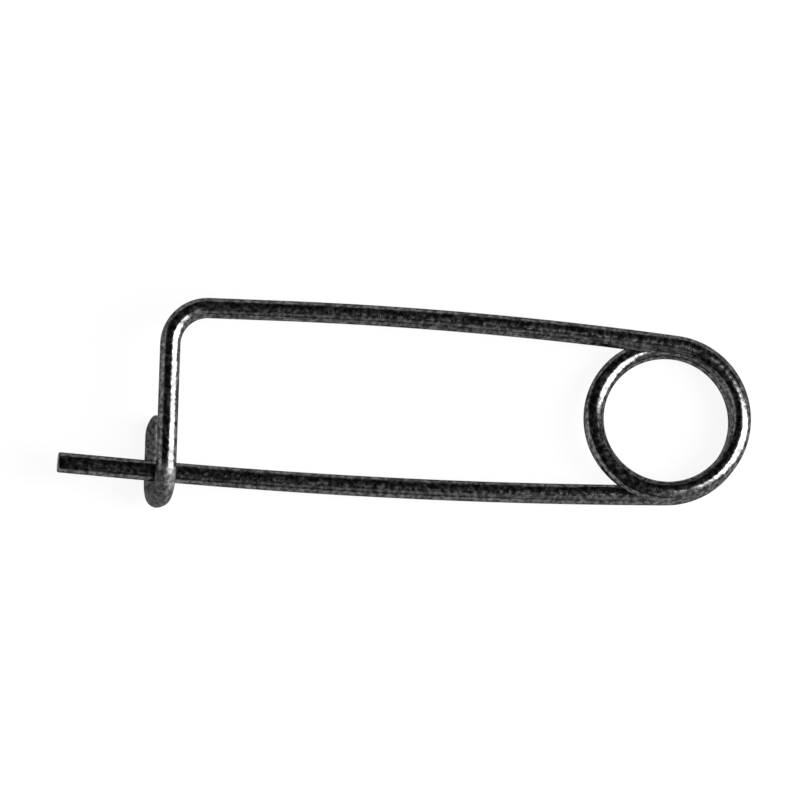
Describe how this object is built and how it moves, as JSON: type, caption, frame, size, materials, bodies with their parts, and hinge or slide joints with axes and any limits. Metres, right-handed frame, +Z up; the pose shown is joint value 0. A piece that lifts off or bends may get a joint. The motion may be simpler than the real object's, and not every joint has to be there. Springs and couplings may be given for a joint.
{
  "type": "coil spring safety pin",
  "caption": "Spring wire safety pin: a straight leg for a cross hole, a coiled eye, and an arm whose bent end hooks round the leg to hold it shut.",
  "frame": {"origin": "middle of the pin's outline on the floor it lies on, seen from above", "axes": "+Z up from the floor, +X from the leg's tip towards the coil, +Y from the leg towards the arm"},
  "size_m": [0.1087, 0.0324, 0.0119],
  "materials": {
    "wire": "dark drawn spring steel, satin, faintly mottled"
  },
  "bodies": {
    "root": {"safety_pin": "wire"}
  },
  "joints": []
}
